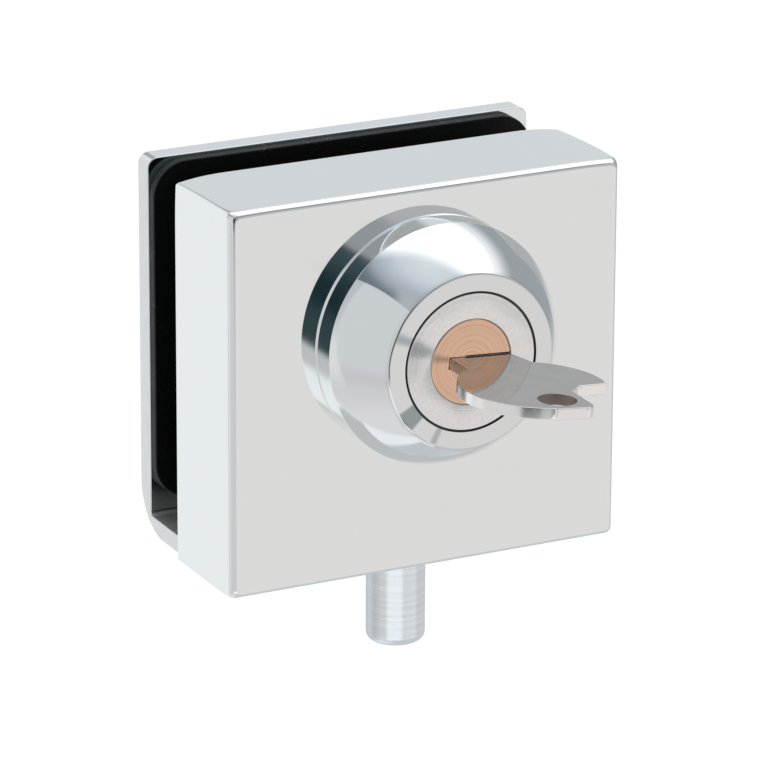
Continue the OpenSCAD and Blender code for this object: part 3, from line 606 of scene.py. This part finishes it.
def wrapped(rings):
    """Closes rings of points, each with as many points, to one solid without ends."""
    count = len(rings[0])
    faces = [(i * count + k, i * count + (k + 1) % count,
              (i + 1) % len(rings) * count + (k + 1) % count, (i + 1) % len(rings) * count + k)
             for i in range(len(rings)) for k in range(count)]
    return solid([p for ring in rings for p in ring], faces)


def bar(corners, way):
    """A straight bar from the corners of its end face and the way it runs, for a cut."""
    count = len(corners)
    far = [tuple(a + b for a, b in zip(corner, way)) for corner in corners]
    walls = [(k, (k + 1) % count, count + (k + 1) % count, count + k) for k in range(count)]
    ends = [tuple(range(count)), tuple(range(count, 2 * count))]
    return solid(corners + far, walls + ends)


def circle(x, y, z, radius, along, steps=64):
    """Points round a place, in the plane that a way along Y or Z crosses."""
    points = []
    for k in range(steps):
        t = math.radians(360 * k / steps)
        c, s = radius * math.cos(t), radius * math.sin(t)
        points.append((x + c, y, z + s) if along == "Y" else (x + c, y + s, z))
    return points


def cut(mesh, *tools, operation="DIFFERENCE"):
    """The mesh with each tool taken out of it, or only what lies in the tool."""
    for tool in tools:
        operand = bpy.data.objects.new("tool", tool)
        scene.collection.objects.link(operand)
        mesh = applied(mesh, ("BOOLEAN", {"operation": operation, "object": operand}))
        bpy.data.objects.remove(operand)
    return mesh


clock = math.radians(3.7)
chamber_r = 12.1
chamber_in = 4
chamber_half = 2.9


def clocked(x, z):
    """A place in the cylinder's own X and Z, in the lock's."""
    return (axis_x + x * math.cos(clock) + z * math.sin(clock),
            axis_z - x * math.sin(clock) + z * math.cos(clock))


def chamber_cut(y, length):
    """Tool for the pin chamber beside the barrel."""
    outer, inner, half = -chamber_r, -chamber_in, chamber_half
    corners = [clocked(*c) for c in ((outer, -half), (inner, -half), (inner, half), (outer, half))]
    return bar([(x, y, z) for x, z in corners], (0, length, 0))


low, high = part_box("collar_screws")
screw_r = 1.25
screw_head_r = 2.3
screw_hole_r = 1.35
screw_z = [low.z / mm + screw_head_r, high.z / mm - screw_head_r]
low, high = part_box("bolt")
bolt_middle = (low.y + high.y) / 2 / mm
bolt_gap = 0.4
bolt_hole_r = (high.x - low.x) / 2 / mm + bolt_gap
tools = [chamber_cut(y_front - 1, 3), bar(circle(0, bolt_middle, -half_h - 1, bolt_hole_r, "Z"), (0, 0, 3))]
tools += [bar(circle(axis_x, y_front - 1, z, screw_hole_r, "Y"), (0, 3, 0)) for z in screw_z]
cover_mesh = smooth(cut(wrapped(rings), *tools))
face_steel, place, shader = surface("cover_steel", {"Base Color": grey(0.88, 0.99, 1.0, 1.0)})
spot_x, spot_y, spot_z = in_mm(place)
from_edge = (half_w - abs(spot_x)).math("MINIMUM", half_h - abs(spot_z))
buffed = from_edge.rise(0.7, 1.7) * spot_y.rise(y_front + 0.6, y_front + 0.3)
ridge = abs(spot_x).rise(half_w - 0.7, half_w - 0.4) * spot_z.rise(half_h - 0.7, half_h - 0.4)
(0.045 + buffed * 0.05 + wiped(place) * 0.05 + ridge * 0.2).feed(shader, "Roughness")
bumped(shader, place.noise(6, 0), 0.004)
finish_piece("cover_sheet", cover_mesh, face_steel, "cover")

# Spacer ring and collar: two thick steel rings turned on a lathe and polished. They are stacked on the cover
# round the barrel, and the V between their chamfered edges shows as a bright line. Two screws hold both.
low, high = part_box("collar")
collar_r = (high.x - low.x) / 2 / mm
y_joint = high.y / mm
y_face = low.y / mm
bore_r = 9.67
joint_chamfer = 0.35
mouth_chamfer = 0.06
face_r = 12.1
straight_side = 3.8
bulge = 0.45
spacer_edge_r = 0.08
shoulder_r = 0.8
face_edge_r = 0.4
thread_r = 1.27
thread_deep = 4.5
chamber_deep = 9.3
flank_steps = 40


def rounded_corner(before, corner, after, radius, steps=8, support=0.04):
    """Points that round a corner of an outline, with a close point on either side to hold the flats flat."""
    u = (before - corner).normalized()
    v = (after - corner).normalized()
    half = u.angle(v) / 2
    start = corner + u * radius / math.tan(half)
    end = corner + v * radius / math.tan(half)
    centre = corner + (u + v).normalized() * radius / math.sin(half)
    arc = [centre + (start.lerp(end, k / steps) - centre).normalized() * radius for k in range(steps + 1)]
    return [start + u * support, *arc, end + v * support]


def turned(outline, steps=256):
    """A ring turned about the lock axis from its closed half section: radius and place along Y."""
    rings = []
    for k in range(steps):
        c, s = math.cos(2 * math.pi * k / steps), math.sin(2 * math.pi * k / steps)
        rings.append([(axis_x + r * c, y, axis_z + r * s) for r, y in outline])
    return wrapped(rings)


spacer_side = rounded_corner(Vector((collar_r, y_front)), Vector((collar_r, y_joint + joint_chamfer)),
                             Vector((collar_r - joint_chamfer, y_joint)), spacer_edge_r)
spacer_outline = [(bore_r, y_front), (collar_r, y_front), *(tuple(p) for p in spacer_side),
                  (collar_r - joint_chamfer, y_joint), (bore_r, y_joint)]
tools = [chamber_cut(y_joint - 1, y_front - y_joint + 2)]
tools += [bar(circle(axis_x, y_joint - 1, z, screw_hole_r, "Y"), (0, y_front - y_joint + 2, 0))
          for z in screw_z]
spacer = smooth(cut(turned(spacer_outline), *tools))

side_end = y_joint - straight_side
start = Vector((collar_r, side_end))
way = Vector((face_r - collar_r, y_face - side_end))
across = Vector((-way.y, way.x)).normalized()
flank = []
for k in range(1, flank_steps):
    t = k / flank_steps
    flank.append(start + way * t + across * 4 * bulge * t * (1 - t))
shoulder = rounded_corner(Vector((collar_r, y_joint)), start, flank[0], shoulder_r)
face_edge = rounded_corner(flank[-1], Vector((face_r, y_face)), Vector((bore_r, y_face)), face_edge_r)
collar_outline = [(bore_r, y_joint), (collar_r - joint_chamfer, y_joint), (collar_r, y_joint - joint_chamfer)]
collar_outline += [tuple(p) for p in shoulder + flank[1:-1] + face_edge]
collar_outline += [(bore_r + mouth_chamfer, y_face), (bore_r, y_face + mouth_chamfer)]
tools = [chamber_cut(y_joint - chamber_deep, chamber_deep + 0.7)]
tools += [bar(circle(axis_x, y_joint - thread_deep, z, thread_r, "Y"), (0, thread_deep + 1, 0))
          for z in screw_z]
collar = smooth(cut(turned(collar_outline), *tools))


def from_lock_axis(place):
    """Distance from the lock axis and along it in millimetres, and the way out from the axis."""
    out = place.vector("SUBTRACT", (axis_x * mm, 0.0, axis_z * mm)).vector("MULTIPLY", (1.0, 0.0, 1.0))
    return out.vector("LENGTH") / mm, in_mm(place)[1], out.vector("NORMALIZE")


def streaked(marks, out, share, *streaks):
    """Marks with sectors that lean left and up: each has its place and reach in degrees, and how much."""
    out_x, _, out_z = out.split()
    angle = out_z.math("ARCTAN2", out_x) * math.degrees(1)
    lean = sum(angle.off(middle).rise(reach, 0) * most for middle, reach, most in streaks)
    return marks.vector("ADD", (lean * share).times((-0.8, 0.0, 0.6))).vector("NORMALIZE")


turned_steel, place, shader = surface("turned_steel")
radius, depth, out = from_lock_axis(place)
across_marks = out.vector("ADD", (0.0, -0.6, 0.0)).vector("NORMALIZE")
marks = tool_marks(radius + depth, across_marks, 0.03, 0.12)
on_face = depth.rise(y_face + 0.5, y_face + 0.3)
lapped = streaked(marks, out, on_face, (-144, 13, 0.36), (-118, 9, 0.16), (156, 12, 0.16), (182, 8, 0.07))
lapped.feed(shader, "Normal")
# Painted shade: the bore of the collar and spacer, next to the gap round the barrel, is painted near black
# and rough.
gap_shade = radius.rise(bore_r + 0.1, bore_r + 0.03)
tone = place.mix(on_face, grey(0.87, 0.985, 1.0, 1.01), grey(0.8, 0.99, 1.0, 1.0))
place.mix(gap_shade, tone, grey(0.02)).feed(shader, "Base Color")
(0.05 + place.noise(4, 3).rise(0.45, 0.8) * 0.06 + gap_shade * 0.5).feed(shader, "Roughness")
for node, mesh in (("spacer_ring", spacer), ("collar", collar)):
    piece = finish_piece(node + "_turned", mesh, turned_steel, node)
    piece.visible_glossy = False

# Collar screws: two plated countersunk screws put in from inside the case. They run through the cover and
# the spacer into blind threads in the collar.
low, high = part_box("collar_screws")
places = [(axis_x, high.y / mm, z) for z in screw_z]
screws = countersunk("collar_screws", places, into_lock, screw_r, screw_head_r, high.y - low.y)
screws.visible_glossy = False

# Barrel: the cylinder's body, turned from brass and satin nickel plated, with the pin chamber at its side.
# A thin ring nut holds it on the case, and a brass strip closes the chamber.
def front_and_rest(node, left, bottom, front_t, material, body="lock_body"):
    """Two pieces in place of a CAD node: its front, which the key mirrors, and the rest, out of all mirrors.

    The front is front_t thick and starts from left and bottom, both measured from the lock axis. The faces
    of the cut are bright steel, so that they hardly show in the cover.
    """
    past = 20
    cut_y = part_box(node)[0].y / mm + front_t
    square = ((left, bottom), (past, bottom), (past, past), (left, past))
    corners = [(axis_x + x, cut_y, axis_z + z) for x, z in square]
    for name, operation in (("_front", "INTERSECT"), ("_rest", "DIFFERENCE")):
        part = cut(edged(node, 0.03), bar(corners, (0, -past, 0)), operation=operation)
        piece = finish_piece(node + name, part, material, node, body)
        part.materials.append(face_steel)
        for face in part.polygons:
            face.material_index = int(abs(face.center.y - cut_y * mm) < 1e-5)
    piece.visible_glossy = False


satin, place, shader = surface("satin_nickel")
radius, depth, out = from_lock_axis(place)
marks = tool_marks(radius + depth, out, 0.42, 0.1)
streaked(marks, out, 1.0, (160, 12, 0.2), (180, 40, 0.1)).feed(shader, "Normal")
barrel_r = 9.44
stain = place.noise(0.5, 4)
tone = place.mix(stain.rise(0.3, 0.7), grey(0.84, 1.0, 0.97, 0.955), grey(0.91, 1.0, 0.98, 0.97))
# Painted shade: the barrel's outer rim, at the gap in the collar's bore, is painted near black and rough.
gap_shade = radius.rise(barrel_r - 0.08, barrel_r)
place.mix(gap_shade, tone, grey(0.03, 1.05, 1.0, 0.95)).feed(shader, "Base Color")
(0.18 + stain * 0.12 + gap_shade * 0.4).feed(shader, "Roughness")
front_and_rest("barrel", 1, -1, 0.15, satin)
coat("ring_nut", plated)

# Plug: a brass bar turned and bored for the pins, with a flat keyway that is open at one side. A snap ring
# keeps it in the barrel, and a screw holds the brass pinion on its tail.
brass, place, shader = surface("turned_brass")
radius, depth, out = from_lock_axis(place)
marks = tool_marks(radius + depth, out, 0.4, 0.22)
streaked(marks, out, 1.0, (167, 13, 0.2)).feed(shader, "Normal")
rings_seen = radius.node("TexNoise", {"noise_dimensions": "1D"}, {"W": (radius + depth) / 0.3, "Scale": 1.0})
tarnish = place.noise(1.6, 3)
dull = place.mix(tarnish, (0.84, 0.52, 0.35, 1), (0.97, 0.65, 0.47, 1))
lined = place.mix(rings_seen.rise(0.4, 0.62) * 0.5, dull, (0.66, 0.41, 0.27, 1))
spot_x, _, spot_z = in_mm(place)
# Painted shade: the keyway's clearance just above the key, and the inside of the plug from just behind its
# face, are painted black.
over_key = (spot_x - axis_x) * math.sin(clock) + (spot_z - axis_z) * math.cos(clock)
beside_key = (spot_x - axis_x) * math.cos(clock)
keyway_shade = over_key.within(0.5, 0.98, 0.02) * beside_key.within(-0.8, 5.9, 0.2)
plug_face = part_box("plug")[0].y / mm
keyway_shade = keyway_shade + depth.within(plug_face + 0.15, plug_face + 1.1, 0.05) * radius.rise(5.9, 5.7)
lined = place.mix(radius.within(5.84, 6.2, 0.06), lined, grey(0.22, 1.3, 1.0, 0.8))
place.mix(keyway_shade, lined, grey(0.004)).feed(shader, "Base Color")
(0.2 + tarnish * 0.14).feed(shader, "Roughness")
for name in ("pinion", "chamber_strip"):
    coat(name, brass)
nodes["chamber_strip"].visible_glossy = False
front_and_rest("plug", -20, -20, 0.9, brass, "plug")
coat("plug_clip", dark_steel)
coat("pinion_screw", plated)

# Tumblers: five brass key pins that ride on the key's cuts, five nickel driver pins, and five springs wound
# from thin plated wire. They sit in a row of bores in the barrel and the plug.
spring_tree, given = new_tree(
    "pin_spring", ("Coil radius", "Float"), ("Wire radius", "Float"), ("Height", "Float"), ("Coils", "Float"))
helix = given["Height"].node("GeometryNodeCurveSpiral", sockets={
    "Resolution": 24, "Rotations": given["Coils"], "Start Radius": given["Coil radius"],
    "End Radius": given["Coil radius"], "Height": given["Height"]})
wire_section = helix.node("GeometryNodeCurvePrimitiveCircle", sockets={
    "Resolution": 10, "Radius": given["Wire radius"]})
coil = helix.node("GeometryNodeCurveToMesh", sockets={
    "Curve": helix, "Profile Curve": wire_section, "Fill Caps": True})
stood_on_points(given, coil)
wire_r = 0.15
for number in range(1, 6):
    coat("key_pin_" + str(number), brass)
    coat("driver_pin_" + str(number), satin)
    for kind in ("key_pin_", "driver_pin_"):
        nodes[kind + str(number)].visible_glossy = False
    name = "pin_spring_" + str(number)
    low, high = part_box(name)
    middle = (low + high) / 2 / mm
    outwards = Vector((middle.x - axis_x, 0, middle.z - axis_z)).normalized()
    width = (high.y - low.y) / mm
    height = ((high.x - low.x) / mm - width * outwards.z) / -outwards.x - 2 * wire_r
    foot = middle - outwards * height / 2
    turn = (0.0, math.atan2(outwards.x, outwards.z), 0.0)
    spring = stood(spring_tree, [foot], turn, plated, Coil_radius=(width / 2 - wire_r) * mm,
                   Wire_radius=wire_r * mm, Height=height * mm, Coils=4.0)
    finish_piece(name + "_wire", spring, plated, name).visible_glossy = False

# Key: flat nickel-plated steel, stamped with a round bow, then cut along its blade. The stamping leaves
# rounded edges, and carrying it has left fine scratches.
ring_hole_x, ring_hole_y = 0.195, -55.3
ring_hole_r = 2.55
key_metal, place, shader = surface("key_nickel")
scratches = place.noise(0.25, 2, stretch=(14, 1, 1)).rise(0.55, 0.75)
hazy = place.noise(3, 3)
sheared = facing(place, "Z").rise(0.75, 0.4)
from_ring_hole = place.vector("SUBTRACT", (ring_hole_x * mm, ring_hole_y * mm, 0.0))
from_ring_hole = from_ring_hole.vector("MULTIPLY", (1.0, 1.0, 0.0)).vector("LENGTH") / mm
in_hole = from_ring_hole.rise(ring_hole_r + 0.15, ring_hole_r)
tone = place.mix(hazy, grey(0.68, 1.01, 0.98, 0.96), grey(0.82, 1.01, 0.985, 0.97))
tone = place.mix(sheared, tone, grey(0.97, 1.0, 0.95, 0.93))
place.mix(in_hole, tone, grey(0.24, 1.25, 1.0, 0.88)).feed(shader, "Base Color")
(0.04 + hazy * 0.05 + scratches * 0.08 + sheared * 0.12 + in_hole * 0.4).feed(shader, "Roughness")
bumped(shader, place.noise(3, 2), 0.006)
key_piece = finish_piece("key_edged", edged("key", 0.12), key_metal, "key", "key")
key_piece.visible_glossy = False
